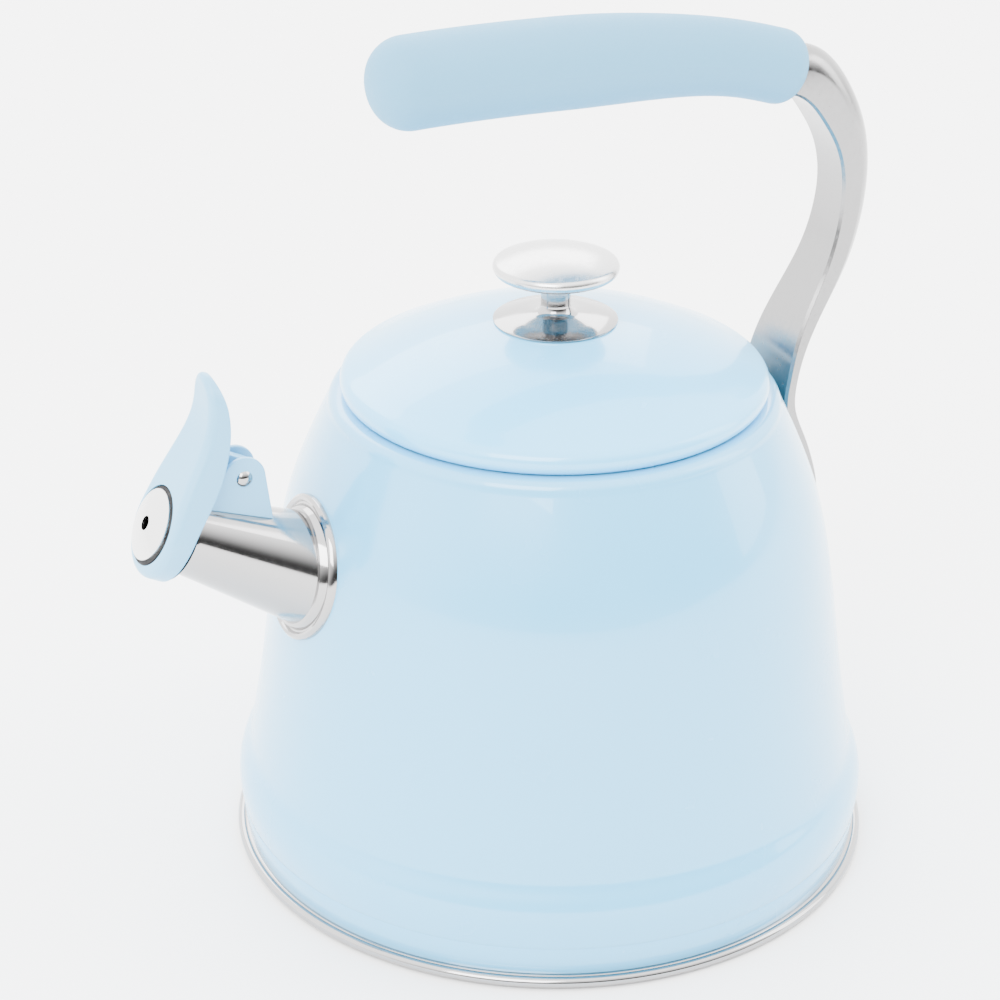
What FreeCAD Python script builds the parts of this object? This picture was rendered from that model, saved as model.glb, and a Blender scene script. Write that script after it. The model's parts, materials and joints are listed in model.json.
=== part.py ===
"""Stovetop whistling kettle.

Millimetres. The origin is the centre of the base on the stove, +Z is up, the spout points to -X
and the handle's strap is at +X. The kettle is symmetric about the XZ plane.
"""
import FreeCAD, Part
import math
import os

from FreeCAD import Placement, Rotation, Vector

# Driving dimensions
BASE_R = 96.5            # outer radius of the polished base ring
SEAT_Z = 144.2           # height of the ledge that the lid sits on
SHEET = 0.8              # thickness of the pressed steel sheet
LID_GAP = 0.4            # gap between the lid's rim and its ledge
SPOUT_TILT = 27.0        # elevation of the spout's axis, degrees
SPOUT_LENGTH = 38.6      # from the wall to the mouth, along the axis

# Base
RIM_WIRE_R = 1.6
RIM_WIRE_Z = 2.2
PAN_TOP = 4.0
CAP_R = 86.0
CAP_SHEET = 1.2
CAP_WALL = 1.4

# Body: (radius, height) along the painted wall, bead first
BAND_BOTTOM = (93.4, PAN_TOP)
WALL = [(94.7, 13.0), (95.3, 18.0), (95.1, 23.5), (93.6, 28.0), (91.8, 31.5), (90.9, 35.5),
        (88.5, 50.0), (84.9, 76.0), (80.8, 101.0), (77.9, 112.5), (74.1, 123.0), (68.6, 135.5),
        (66.0, 141.0)]
SEAT_ROUND = [(65.0, 143.2), (62.8, SEAT_Z)]
NECK_R = 56.7
NECK_ROUND = 1.5
NECK_BOTTOM = 134.0

# Lid
LID_R = 62.3
LID_BOTTOM = SEAT_Z + LID_GAP
LID_CREASE = (56.0, 153.0)
LID_RISE = (36.0, 161.1)
LID_FLAT = (12.0, 166.0)
LID_RIM = (1.7, 3.2, 2.1, 6.4)       # bottom step in, side height, top step in, top height
LID_HOLE_R = 2.1
SKIRT_R = 55.6
SKIRT_SHEET = 0.6
SKIRT_BOTTOM = 131.0
SKIRT_DROP = 1.0                     # its top below the dome's outer face
GASKET_R = 56.3
GASKET_Z = (136.0, 139.0)

# Knob
KNOB_FOOT = (18.0, 6.6, 1.3)         # outer radius, radius where the flare starts, height there
KNOB_FLARE = (0.6, 1.1, 3.7)         # bulge of the flare, its height there, height of the flare
KNOB_STEM_R = 4.3
KNOB_SOCKET = 1.5                    # how far the stem enters the cap above its widest ring
KNOB_CAP_R = 18.2
KNOB_CAP_Z = (179.6, 181.2, 187.0)   # underside, widest, top
KNOB_EDGE = (1.7, 0.4, 0.55)         # rounding under the rim: width, then the arc's middle point
KNOB_SCREW_R = 2.0
KNOB_SCREW_LENGTH = 14.0
KNOB_SCREW_HEAD = (4.0, 2.4)
WASHER = (8.0, 1.2)

# Spout, in its own frame: x up from the axis, y across, z along the axis
SPOUT_ROOT = Vector(-81.6, 0, 103.1)
SPOUT_ROOT_R = 15.9
SPOUT_MOUTH_R = 10.9
SPOUT_WALL = 1.2
SPOUT_INSIDE = 8.0                   # how far the tube may run back from its root
SPOUT_STUB = 1.5                     # how far the tube stands inside the wall sheet
COLLAR_CENTRE = Vector(-80.4, 0, 102.0)
COLLAR_TILT = 13.0
COLLAR_STEPS = [(20.9, 1.8), (18.6, 0.8), (17.4, 2.6)]   # radius and height above the wall

# Hinge of the whistle, in the spout's frame
PIN_X = 21.7
PIN_Z = 29.2
PIN_R = 1.5
PIN_HEAD = (2.35, 1.1)
PIN_CLEARANCE = 0.05
EAR_IN = 3.6
EAR_OUT = 5.2
EAR_R = 6.3
EAR_FRONT = 35.2
EAR_BACK = (6.6, 11.3)
SADDLE_THICK = 2.6
SADDLE_BACK = 15.2
BRACKET_SCREW = (1.2, 2.2, 1.3)      # shank radius, head radius, head height
BRACKET_SCREW_Z = 20.5
BRACKET_SCREW_Y = 2.9
BRACKET_SCREW_LENGTH = 3.4
KNUCKLE_R = 4.6
KNUCKLE_HALF = 1.9
SPRING_R = 2.4
SPRING_WIRE_R = 0.3
SPRING_TURNS = 1.25
SPRING_STEPS = 16
SPRING_LEGS = (5.4, (-5.6, -3.0))    # reach of the lever's leg, then of the bracket's leg

# Whistle lever, in the spout's frame
LEVER_R = 14.6
LEVER_TIP_R = 8.0
LEVER_TIP_X = 38.0
LEVER_BACK = 39.4
LEVER_END = (-15.6, 46.3)            # front of the lever just below its lower end
LEVER_BACK_CURVE = [(4.0, LEVER_BACK), (18.0, 37.9), (28.0, 38.8), (37.0, 41.9), (43.0, 46.2),
                    (47.0, 51.0)]
LEVER_FRONT_CURVE = [(45.5, 53.5), (40.0, 49.6), (33.0, 47.1), (24.0, 46.6), (12.0, 47.1),
                     (-1.0, 46.8), LEVER_END]
SEAL = (8.6, 12.6, 1.2)              # inner radius, radius and depth of the part let into the lever
SEAL_LIP = (14.0, 0.5)               # radius and thickness of the lip that shuts the mouth
RING_R = 11.5
RING_BORE = 8.0
RING_BACK = 42.0
RING_FRONT = 46.9
WHISTLE_SHEET = 0.8
FACE_R = 10.3
FACE_EDGE = 0.7                      # height of the face's edge on its ring
FACE_DOME = 1.6
FACE_HOLE_R = 2.1
REAR_R = 9.8
REAR_HOLE_R = 1.6

# Handle, (x, z) in the plane of symmetry
GRIP_LINE = [(-56.4, 241.3), (-40.0, 241.8), (0.0, 241.4), (28.0, 239.9), (58.0, 235.4),
             (75.4, 230.0)]
GRIP_R = 13.0
GRIP_END_R = 10.9
GRIP_TAPER = (0.0, 62.0)             # x where the taper starts and ends
GRIP_ROUND = (11.0, 6.0)             # length of the rounding at the free end and at the strap
CORE_R = 6.5
CORE_ENDS = [(-44.0, 241.3), (58.0, 236.2)]
TANG_START = (69.0, 232.4)
TANG_R = 4.0
TANG_LENGTH = 34.0
GRIP_PIN_X = 46.0
GRIP_PIN_R = 1.5
GRIP_PIN_DEPTH = 0.6                 # its ends below the core's surface
# Strap sections: inner face (x, z), direction of the thickness in degrees, thickness, half width
STRAP = [((66.0, 226.4), 62.0, 13.5, 7.0),
         ((73.8, 223.9), 56.0, 15.0, 7.8),
         ((81.2, 216.2), 38.0, 14.6, 8.0),
         ((87.0, 206.0), 20.0, 12.8, 8.0),
         ((89.2, 195.5), 3.0, 11.3, 8.0),
         ((88.4, 184.5), -9.0, 10.6, 8.3),
         ((85.2, 173.0), -19.0, 10.0, 9.0),
         ((79.2, 160.5), -24.0, 8.8, 10.2),
         ((73.9, 148.5), -21.0, 6.8, 11.8),
         ((71.2, 138.5), -4.0, 5.6, 13.0),
         ((70.4, 128.0), 20.0, 6.4, 13.4),
         ((74.6, 117.0), 20.0, 6.4, 13.4),
         ((77.6, 106.0), 14.0, 7.6, 13.4),
         ((79.8, 94.0), 12.0, 8.2, 13.4)]
STRAP_EDGE = 0.55                    # thickness at the edge over thickness at the crown
STRAP_CHAMFER = 0.8
FOOT_BOTTOM = 95.0
SCREW_HEIGHTS = (104.0, 120.0)
HANDLE_SCREW_R = 2.0
HANDLE_SCREW_HEAD = (4.0, 2.2)
BACKING_HALF = 12.0
BACKING_Z = (97.0, 127.0)
BACKING = (2.3, 0.95)                # depth inside the wall's outer face


# Helpers

def xz(point):
    """Point in the plane of symmetry."""
    return Vector(point[0], 0, point[1])


def line(first, last):
    return Part.makeLine(xz(first), xz(last))


def arc(first, middle, last):
    return Part.Arc(xz(first), xz(middle), xz(last)).toShape()


def spline(points):
    curve = Part.BSplineCurve()
    curve.interpolate([xz(point) for point in points])
    return curve.toShape()


def polyline(*points):
    return [line(a, b) for a, b in zip(points, points[1:])]


def spun(edges):
    """Solid of revolution about Z from the edges of a closed outline."""
    face = Part.Face(Part.Wire(edges))
    return face.revolve(Vector(0, 0, 0), Vector(0, 0, 1), 360)


def extruded(edges, low, high):
    """Outline in the plane of symmetry, extruded across from y = low to y = high."""
    face = Part.Face(Part.Wire(edges))
    face.translate(Vector(0, low, 0))
    return face.extrude(Vector(0, high - low, 0))


def rod(radius, start, end):
    axis = end - start
    return Part.makeCylinder(radius, axis.Length, start, axis)


def tube(outer, inner, low, high):
    """Upright tube about Z."""
    wall = Part.makeCylinder(outer, high - low, Vector(0, 0, low))
    return wall.cut(Part.makeCylinder(inner, high - low, Vector(0, 0, low)))


def on_spout(shape):
    """Moves a shape from the spout's frame into the kettle's."""
    tilt = math.radians(SPOUT_TILT)
    up = Vector(math.sin(tilt), 0, math.cos(tilt))
    along = Vector(-math.cos(tilt), 0, math.sin(tilt))
    placed = shape.copy()
    placed.Placement = Placement(SPOUT_ROOT, Rotation(up, Vector(0, 1, 0), along, "ZXY"))
    return placed


# Base

def base_pan():
    rim = Part.makeTorus(BASE_R - RIM_WIRE_R, RIM_WIRE_R, Vector(0, 0, RIM_WIRE_Z))
    disc = Part.makeCylinder(BASE_R - RIM_WIRE_R, SHEET, Vector(0, 0, PAN_TOP - SHEET))
    return rim.fuse(disc)


def base_cap():
    height = PAN_TOP - SHEET
    pocket = Part.makeCylinder(CAP_R - CAP_WALL, height, Vector(0, 0, CAP_SHEET))
    return Part.makeCylinder(CAP_R, height).cut(pocket)


def heat_spreader():
    height = PAN_TOP - SHEET - CAP_SHEET
    return Part.makeCylinder(CAP_R - CAP_WALL, height, Vector(0, 0, CAP_SHEET))


# Body

def wall_edges():
    """Outer face of the body from its lower edge up to the ledge."""
    return [line(BAND_BOTTOM, WALL[0]), spline(WALL), arc(WALL[-1], *SEAT_ROUND)]


def body_envelope():
    """Everything inside the body's outer face."""
    edges = wall_edges()
    closing = polyline(SEAT_ROUND[-1], (0, SEAT_Z), (0, PAN_TOP), BAND_BOTTOM)
    return spun(edges + closing)


def wall_point(height):
    """Point of the wall at a height, and the outward normal there."""
    level = line((0, height), (2 * BASE_R, height))
    spot = spline(WALL).distToShape(level)[1][0][0]
    curve = spline(WALL).Curve
    tangent = curve.tangent(curve.parameter(spot))[0]
    normal = Vector(abs(tangent.z), 0, abs(tangent.x))
    return spot, normal


def inset(points, depth):
    """Points of an outline moved towards the inside, square to the outline."""
    moved = []
    for before, here, after in zip(points[:1] + points, points, points[1:] + points[-1:]):
        along = (after[0] - before[0], after[1] - before[1])
        length = math.hypot(*along)
        moved.append((here[0] - depth * along[1] / length, here[1] + depth * along[0] / length))
    return moved


def wall_layer(deep, shallow):
    """Layer of the wall between two depths below its outer face."""
    outer = inset(WALL, shallow)
    inner = inset(WALL, deep)
    return spun([spline(outer), line(outer[-1], inner[-1]), spline(inner), line(inner[0], outer[0])])


def body_room():
    """Room inside the sheet: the water space and the ring-shaped space round the neck."""
    wall = inset(WALL, SHEET)
    start = (BAND_BOTTOM[0] - SHEET, BAND_BOTTOM[1] - 1)
    round_middle = (SEAT_ROUND[0][0] - 0.7 * SHEET, SEAT_ROUND[0][1] - 0.7 * SHEET)
    round_end = (SEAT_ROUND[1][0], SEAT_Z - SHEET)
    neck_outer = NECK_R + SHEET
    return spun([line(start, wall[0]), spline(wall), arc(wall[-1], round_middle, round_end)]
                + polyline(round_end, (neck_outer, SEAT_Z - SHEET), (neck_outer, NECK_BOTTOM),
                           (0, NECK_BOTTOM), (0, start[1]), start))


def neck_bore():
    """Opening of the neck, with the rounded edge at its top."""
    corner = NECK_R + NECK_ROUND
    middle = NECK_ROUND * (1 - math.sqrt(0.5))
    low, high = NECK_BOTTOM - 1, SEAT_Z + 1
    round_start = (NECK_R, SEAT_Z - NECK_ROUND)
    return spun(polyline((0, high), (0, low), (NECK_R, low), round_start)
                + [arc(round_start, (NECK_R + middle, SEAT_Z - middle), (corner, SEAT_Z))]
                + polyline((corner, SEAT_Z), (corner, high), (0, high)))


def handle_screw(height):
    """Screw from inside the wall into the strap's foot."""
    spot, normal = wall_point(height)
    head_r, head_height = HANDLE_SCREW_HEAD
    seat = spot - normal * (BACKING[0] + 0.1)
    head = rod(head_r, seat - normal * head_height, seat)
    return head.fuse(rod(HANDLE_SCREW_R, seat, spot + normal * (HANDLE_SCREW_R + 1)))


def handle_screws():
    return Part.makeCompound([handle_screw(height) for height in SCREW_HEIGHTS])


def body_shell():
    shell = body_envelope().cut(body_room()).cut(neck_bore())
    passage = on_spout(spout_cone(-SPOUT_INSIDE - 4, SPOUT_LENGTH))
    return shell.cut(passage).cut(handle_screws())


def handle_backing():
    low, high = BACKING_Z
    block = Part.makeBox(BASE_R, 2 * BACKING_HALF, high - low, Vector(0, -BACKING_HALF, low))
    return wall_layer(*BACKING).common(block).cut(handle_screws())


# Lid

def lid_edges():
    bottom_step, side_height, top_step, top_height = LID_RIM
    rim_bottom = (LID_R - bottom_step, LID_BOTTOM)
    rim_side = (LID_R, LID_BOTTOM + side_height)
    rim_top = (LID_R - top_step, LID_BOTTOM + top_height)
    return [arc(rim_bottom, rim_side, rim_top), line(rim_top, LID_CREASE),
            arc(LID_CREASE, LID_RISE, LID_FLAT), line(LID_FLAT, (LID_HOLE_R, LID_FLAT[1]))]


def lid_envelope():
    """Everything under the lid's outer face."""
    edges = lid_edges()
    bottom = edges[0].Vertexes[0].Point
    top = (LID_HOLE_R, LID_FLAT[1])
    closing = polyline(top, (0, top[1]), (0, bottom.z), (bottom.x, bottom.z))
    return spun(edges + closing)


def lid_shell():
    section = Part.Wire(lid_edges()).makeOffset2D(SHEET, 0, True, True, False)
    return section.revolve(Vector(0, 0, 0), Vector(0, 0, 1), 360)


def lid_skirt():
    """Tube welded under the lid's dome; its top edge follows the dome."""
    under_dome = lid_envelope()
    under_dome.translate(Vector(0, 0, -SKIRT_DROP))
    join = LID_BOTTOM + LID_GAP
    low = tube(SKIRT_R, SKIRT_R - SKIRT_SHEET, SKIRT_BOTTOM, join)
    high = tube(SKIRT_R, SKIRT_R - SKIRT_SHEET, join, LID_FLAT[1])
    return low.fuse(high.common(under_dome)).removeSplitter()


def lid_gasket():
    low, high = GASKET_Z
    return tube(GASKET_R, SKIRT_R, low, high)


# Knob

def knob_stem():
    """Foot that follows the lid's dome, flaring into the post under the cap."""
    lid_top = LID_FLAT[1]
    foot_r, flare_r, flare_start = KNOB_FOOT
    bulge, bulge_height, flare_height = KNOB_FLARE
    bottom = lid_top - 2 * SHEET
    top = KNOB_CAP_Z[1] + KNOB_SOCKET
    start = (flare_r, lid_top + flare_start)
    middle = (KNOB_STEM_R + bulge, lid_top + flare_start + bulge_height)
    end = (KNOB_STEM_R, lid_top + flare_start + flare_height)
    foot = polyline((0, bottom), (foot_r, bottom), (foot_r, lid_top), start)
    post = polyline(end, (KNOB_STEM_R, top), (0, top), (0, bottom))
    stem = spun(foot + [arc(start, middle, end)] + post)
    return stem.cut(lid_envelope()).cut(knob_screw())


def knob_cap():
    low, wide, top = KNOB_CAP_Z
    rise = top - wide
    ball_r = (KNOB_CAP_R ** 2 + rise ** 2) / (2 * rise)
    half_turn = math.asin(KNOB_CAP_R / ball_r) / 2
    middle = (ball_r * math.sin(half_turn), top - ball_r * (1 - math.cos(half_turn)))
    width, step, height = KNOB_EDGE
    edge = (KNOB_CAP_R - width, low)
    outline = [line((0, low), edge),
               arc(edge, (KNOB_CAP_R - step, low + height), (KNOB_CAP_R, wide)),
               arc((KNOB_CAP_R, wide), middle, (0, top)),
               line((0, top), (0, low))]
    return spun(outline).cut(knob_stem())


def knob_screw():
    head_r, head_height = KNOB_SCREW_HEAD
    seat = LID_FLAT[1] - SHEET - WASHER[1]
    shank = Part.makeCylinder(KNOB_SCREW_R, KNOB_SCREW_LENGTH, Vector(0, 0, seat))
    return shank.fuse(Part.makeCylinder(head_r, head_height, Vector(0, 0, seat - head_height)))


def knob_washer():
    bottom = LID_FLAT[1] - SHEET - WASHER[1]
    return tube(WASHER[0], KNOB_SCREW_R, bottom, bottom + WASHER[1])


# Spout and collar

def spout_radius(z):
    return SPOUT_ROOT_R + (SPOUT_MOUTH_R - SPOUT_ROOT_R) * z / SPOUT_LENGTH


def spout_cone(low, high, grow=0.0):
    """Solid cone of the spout in its own frame, thickened by grow."""
    return Part.makeCone(spout_radius(low) + grow, spout_radius(high) + grow, high - low,
                         Vector(0, 0, low))


def spout_tube():
    """Tapering tube from just inside the wall to the mouth."""
    outside = spout_cone(-SPOUT_INSIDE, SPOUT_LENGTH)
    inside = spout_cone(-SPOUT_INSIDE - 1, SPOUT_LENGTH + 1, -SPOUT_WALL)
    tube_start = body_envelope().cut(wall_layer(SHEET + SPOUT_STUB, -SHEET))
    return on_spout(outside.cut(inside).cut(bracket_screw_pair())).cut(tube_start)


def spout_collar():
    """Rolled flange on the wall round the spout's root."""
    tilt = math.radians(COLLAR_TILT)
    axis = Vector(-math.cos(tilt), 0, math.sin(tilt))
    far = axis * SPOUT_LENGTH
    collar = None
    for radius, height in COLLAR_STEPS:
        bore = rod(radius, COLLAR_CENTRE - far, COLLAR_CENTRE + far)
        step = wall_layer(SHEET, -height).common(bore)
        collar = step if collar is None else collar.cut(bore).fuse(step)
    return collar.cut(body_envelope()).cut(on_spout(spout_cone(-SPOUT_LENGTH, SPOUT_LENGTH)))


# Hinge of the whistle

def pin_axis(low, high, radius):
    """Rod on the hinge's axis, in the spout's frame."""
    return rod(radius, Vector(PIN_X, low, PIN_Z), Vector(PIN_X, high, PIN_Z))


def hinge_bracket():
    """Two ears on a saddle; each ear runs from its foot tangent to the round at the pin."""
    front_x = PIN_X - math.sqrt(EAR_R ** 2 - (EAR_FRONT - PIN_Z) ** 2)
    slope = math.atan2(PIN_X - EAR_BACK[0], PIN_Z - EAR_BACK[1])
    reach = math.hypot(PIN_X - EAR_BACK[0], PIN_Z - EAR_BACK[1])
    turn = slope + math.asin(EAR_R / reach) + math.pi / 2
    tangent = (PIN_X + EAR_R * math.sin(turn), PIN_Z + EAR_R * math.cos(turn))
    crown = (PIN_X + EAR_R * math.sin(turn / 2), PIN_Z + EAR_R * math.cos(turn / 2))
    front = (front_x, EAR_FRONT)
    foot = (EAR_BACK[0], EAR_FRONT)
    ear = [line(foot, front), arc(front, crown, tangent), line(tangent, EAR_BACK), line(EAR_BACK, foot)]
    saddle = spout_cone(SADDLE_BACK, EAR_FRONT, SADDLE_THICK)
    block = Part.makeBox(PIN_X, 2 * EAR_OUT, SPOUT_LENGTH, Vector(EAR_BACK[0], -EAR_OUT, 0))
    bracket = saddle.common(block)
    for side in (-1, 1):
        low, high = sorted((side * EAR_IN, side * EAR_OUT))
        bracket = bracket.fuse(extruded(ear, low, high))
    bracket = bracket.removeSplitter().cut(spout_cone(0, SPOUT_LENGTH + 5))
    return on_spout(bracket.cut(pin_axis(-EAR_OUT, EAR_OUT, PIN_R)).cut(bracket_screw_pair()))


def hinge_pin():
    radius, height = PIN_HEAD
    pin = pin_axis(-EAR_OUT, EAR_OUT, PIN_R)
    for side in (-1, 1):
        ball_r = (radius ** 2 + height ** 2) / (2 * height)
        centre = side * (EAR_OUT + height - ball_r)
        low, high = sorted((side * EAR_OUT, side * (EAR_OUT + height)))
        dome = Part.makeSphere(ball_r, Vector(PIN_X, centre, PIN_Z)).common(pin_axis(low, high, radius))
        pin = pin.fuse(dome)
    return on_spout(pin)


def bracket_screw_pair():
    """Two screws through the saddle into the spout, in the spout's frame."""
    shank_r, head_r, head_height = BRACKET_SCREW
    top = spout_radius(BRACKET_SCREW_Z) + SADDLE_THICK - SHEET
    screws = []
    for side in (-1, 1):
        head = Vector(top, side * BRACKET_SCREW_Y, BRACKET_SCREW_Z)
        foot = head - Vector(BRACKET_SCREW_LENGTH, 0, 0)
        screws.append(rod(shank_r, foot, head).fuse(rod(head_r, head, head + Vector(head_height, 0, 0))))
    return Part.makeCompound(screws)


def bracket_screws():
    return on_spout(bracket_screw_pair())


def whistle_spring():
    """Torsion spring beside the lever's knuckle: coil round the pin with a leg at each end."""
    lever_leg, bracket_leg = SPRING_LEGS
    pitch = 2.1 * SPRING_WIRE_R
    start_y = KNUCKLE_HALF + 1.3 * SPRING_WIRE_R
    points = [Vector(PIN_X + SPRING_R, start_y, PIN_Z + lever_leg)]
    for step in range(round(SPRING_TURNS * SPRING_STEPS) + 1):
        turns = step / SPRING_STEPS
        angle = 2 * math.pi * turns
        points.append(Vector(PIN_X + SPRING_R * math.cos(angle), start_y + pitch * turns,
                             PIN_Z - SPRING_R * math.sin(angle)))
    points.append(points[-1] + xz(bracket_leg))
    curve = Part.BSplineCurve()
    curve.interpolate(points)
    start = curve.tangent(curve.FirstParameter)[0]
    ring = Part.Wire(Part.Circle(points[0], start, SPRING_WIRE_R).toShape())
    wire = Part.Wire(curve.toShape()).makePipeShell([ring], True, True)
    return on_spout(wire)


# Whistle

def lever_blank():
    """Outer shape of the lever: its front outline through its side outline."""
    lean = math.asin((LEVER_R - LEVER_TIP_R) / LEVER_TIP_X)
    low = Vector(LEVER_R * math.sin(lean), LEVER_R * math.cos(lean), 0)
    high = Vector(LEVER_TIP_X + LEVER_TIP_R * math.sin(lean), LEVER_TIP_R * math.cos(lean), 0)
    low_far = Vector(low.x, -low.y, 0)
    high_far = Vector(high.x, -high.y, 0)
    front = Part.Wire([Part.makeLine(low, high),
                       Part.Arc(high, Vector(LEVER_TIP_X + LEVER_TIP_R, 0, 0), high_far).toShape(),
                       Part.makeLine(high_far, low_far),
                       Part.Arc(low_far, Vector(-LEVER_R, 0, 0), low).toShape()])
    column = Part.Face(front).extrude(Vector(0, 0, 2 * LEVER_BACK))
    below = (LEVER_END[0], LEVER_BACK)
    side = [line(below, LEVER_BACK_CURVE[0]), spline(LEVER_BACK_CURVE),
            line(LEVER_BACK_CURVE[-1], LEVER_FRONT_CURVE[0]), spline(LEVER_FRONT_CURVE),
            line(LEVER_END, below)]
    return column.common(extruded(side, -LEVER_R, LEVER_R))


def pocket(radius, low, high):
    """Round pocket on the spout's axis."""
    return Part.makeCylinder(radius, high - low, Vector(0, 0, low))


def whistle_lever():
    arm = Part.makeBox(2 * KNUCKLE_R, 2 * KNUCKLE_HALF, LEVER_BACK - PIN_Z,
                       Vector(PIN_X - KNUCKLE_R, -KNUCKLE_HALF, PIN_Z))
    knuckle = pin_axis(-KNUCKLE_HALF, KNUCKLE_HALF, KNUCKLE_R)
    lever = lever_blank().fuse(arm).fuse(knuckle)
    lever = lever.cut(pin_axis(-EAR_OUT, EAR_OUT, PIN_R + PIN_CLEARANCE))
    lip_r, lip = SEAL_LIP
    lever = lever.cut(pocket(lip_r, LEVER_BACK - 4 * lip, LEVER_BACK))
    lever = lever.cut(pocket(SEAL[1], LEVER_BACK - lip, LEVER_BACK + SEAL[2]))
    lever = lever.cut(pocket(RING_BORE, LEVER_BACK, RING_BACK))
    return on_spout(lever.cut(pocket(RING_R, RING_BACK, RING_FRONT + 1)))


def mouth_seal():
    """Ring let into the lever's back, with a wider lip over the mouth."""
    bore, outer, depth = SEAL
    lip_r, lip = SEAL_LIP
    let_in = tube(outer, bore, LEVER_BACK, LEVER_BACK + depth)
    return on_spout(let_in.fuse(tube(lip_r, bore, LEVER_BACK - lip, LEVER_BACK)).removeSplitter())


def whistle_ring():
    ring = tube(RING_R, RING_BORE, RING_BACK, RING_FRONT)
    return on_spout(ring.cut(pocket(REAR_R, RING_BACK, RING_BACK + WHISTLE_SHEET)))


def whistle_face():
    """Domed disc standing on its ring, with the steam hole in the middle."""
    edge = RING_FRONT + FACE_EDGE
    ball_r = (FACE_R ** 2 + FACE_DOME ** 2) / (2 * FACE_DOME)
    outer_ball = Part.makeSphere(ball_r, Vector(0, 0, edge + FACE_DOME - ball_r))
    inner_ball = Part.makeSphere(ball_r, Vector(0, 0, edge + FACE_DOME - ball_r - WHISTLE_SHEET))
    disc = pocket(FACE_R, RING_FRONT, edge + FACE_DOME).common(outer_ball).cut(inner_ball)
    return on_spout(disc.cut(pocket(FACE_HOLE_R, RING_FRONT, edge + FACE_DOME)))


def whistle_rear():
    return on_spout(tube(REAR_R, REAR_HOLE_R, RING_BACK, RING_BACK + WHISTLE_SHEET))


# Handle

def strap_section(inner, direction, thickness, half):
    """D-shaped outline across the strap: flat inner face, bevelled edges, crowned outer face."""
    angle = math.radians(direction)
    out = Vector(math.cos(angle), 0, math.sin(angle))
    start = xz(inner)
    edge = STRAP_EDGE * thickness

    def at(y, height):
        return start + out * height + Vector(0, y, 0)

    flat = half - STRAP_CHAMFER
    corners = [at(half, edge), at(half, STRAP_CHAMFER), at(flat, 0), at(-flat, 0),
               at(-half, STRAP_CHAMFER), at(-half, edge)]
    edges = [Part.makeLine(a, b) for a, b in zip(corners, corners[1:])]
    crown = Part.Arc(corners[-1], at(0, thickness), corners[0]).toShape()
    return Part.Wire(edges + [crown])


def tang():
    """Round tang at the strap's top that enters the grip's core."""
    start = xz(TANG_START)
    away = xz(CORE_ENDS[0]) - xz(CORE_ENDS[1])
    return rod(TANG_R, start, start + away.normalize() * TANG_LENGTH)


def strap_blank():
    blank = Part.makeLoft([strap_section(*station) for station in STRAP], True, False)
    half = STRAP[-1][3]
    above = Part.makeBox(80, 2 * half, 160, Vector(40, -half, FOOT_BOTTOM + half))
    rounding = Part.makeCylinder(half, 80, Vector(40, 0, FOOT_BOTTOM + half), Vector(1, 0, 0))
    return blank.common(above.fuse(rounding)).fuse(tang())


def handle_strap():
    return strap_blank().cut(body_envelope()).cut(handle_screws()).cut(grip_pin())


def grip_radius(x):
    """Radius of the grip: a slow taper with both ends rounded off."""
    start, end = GRIP_TAPER
    share = min(max((x - start) / (end - start), 0), 1)
    radius = GRIP_R + (GRIP_END_R - GRIP_R) * share
    for distance, length in ((x - GRIP_LINE[0][0], GRIP_ROUND[0]), (GRIP_LINE[-1][0] - x, GRIP_ROUND[1])):
        if distance < length:
            radius -= length * (1 - math.sqrt(1 - (1 - distance / length) ** 2))
    return radius


def grip_blank():
    curve = spline(GRIP_LINE).Curve
    rings = []
    free_end, strap_end = GRIP_LINE[0][0], GRIP_LINE[-1][0]
    places = [free_end + step for step in (0.05, 0.6, 2.0, 4.5, 8.0, 13.0)]
    places += [-28, -10, 8, 24, 40, 54, 64]
    places += [strap_end - step for step in (8.0, 4.5, 2.0, 0.6, 0.05)]
    for x in places:
        upright = Part.makeLine(Vector(x, 0, 200), Vector(x, 0, 300))
        spot = spline(GRIP_LINE).distToShape(upright)[1][0][0]
        along = curve.tangent(curve.parameter(spot))[0]
        rings.append(Part.Wire(Part.Circle(spot, along, grip_radius(x)).toShape()))
    return Part.makeLoft(rings, True, False)


def grip_core_blank():
    return rod(CORE_R, xz(CORE_ENDS[0]), xz(CORE_ENDS[1]))


def grip_core():
    return grip_core_blank().cut(strap_blank()).cut(grip_pin())


def grip_sleeve():
    return grip_blank().cut(grip_core_blank()).cut(strap_blank())


def grip_pin():
    start, end = CORE_ENDS
    share = (GRIP_PIN_X - start[0]) / (end[0] - start[0])
    height = start[1] + share * (end[1] - start[1])
    half = CORE_R - GRIP_PIN_DEPTH
    return rod(GRIP_PIN_R, Vector(GRIP_PIN_X, -half, height), Vector(GRIP_PIN_X, half, height))


PIECES = [base_pan, base_cap, heat_spreader, body_shell, handle_backing, handle_screws,
          lid_shell, lid_skirt, lid_gasket, knob_stem, knob_cap, knob_screw, knob_washer,
          spout_tube, spout_collar, hinge_bracket, hinge_pin, bracket_screws, whistle_spring,
          whistle_lever, mouth_seal, whistle_ring, whistle_face, whistle_rear,
          handle_strap, grip_core, grip_sleeve, grip_pin]


def main():
    os.makedirs("parts", exist_ok=True)
    for piece in PIECES:
        piece().exportStep("parts/" + piece.__name__ + ".step")


main()
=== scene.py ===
"""Looks of the stovetop whistling kettle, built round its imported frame.

The frame is in metres. Outlines below are in millimetres, in the kettle's frame or in the spout's:
x up from the spout's axis, y across, z along the axis.
"""
import json
import math

import bmesh
import bpy
import numpy as np
from mathutils import Matrix, Vector


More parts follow.
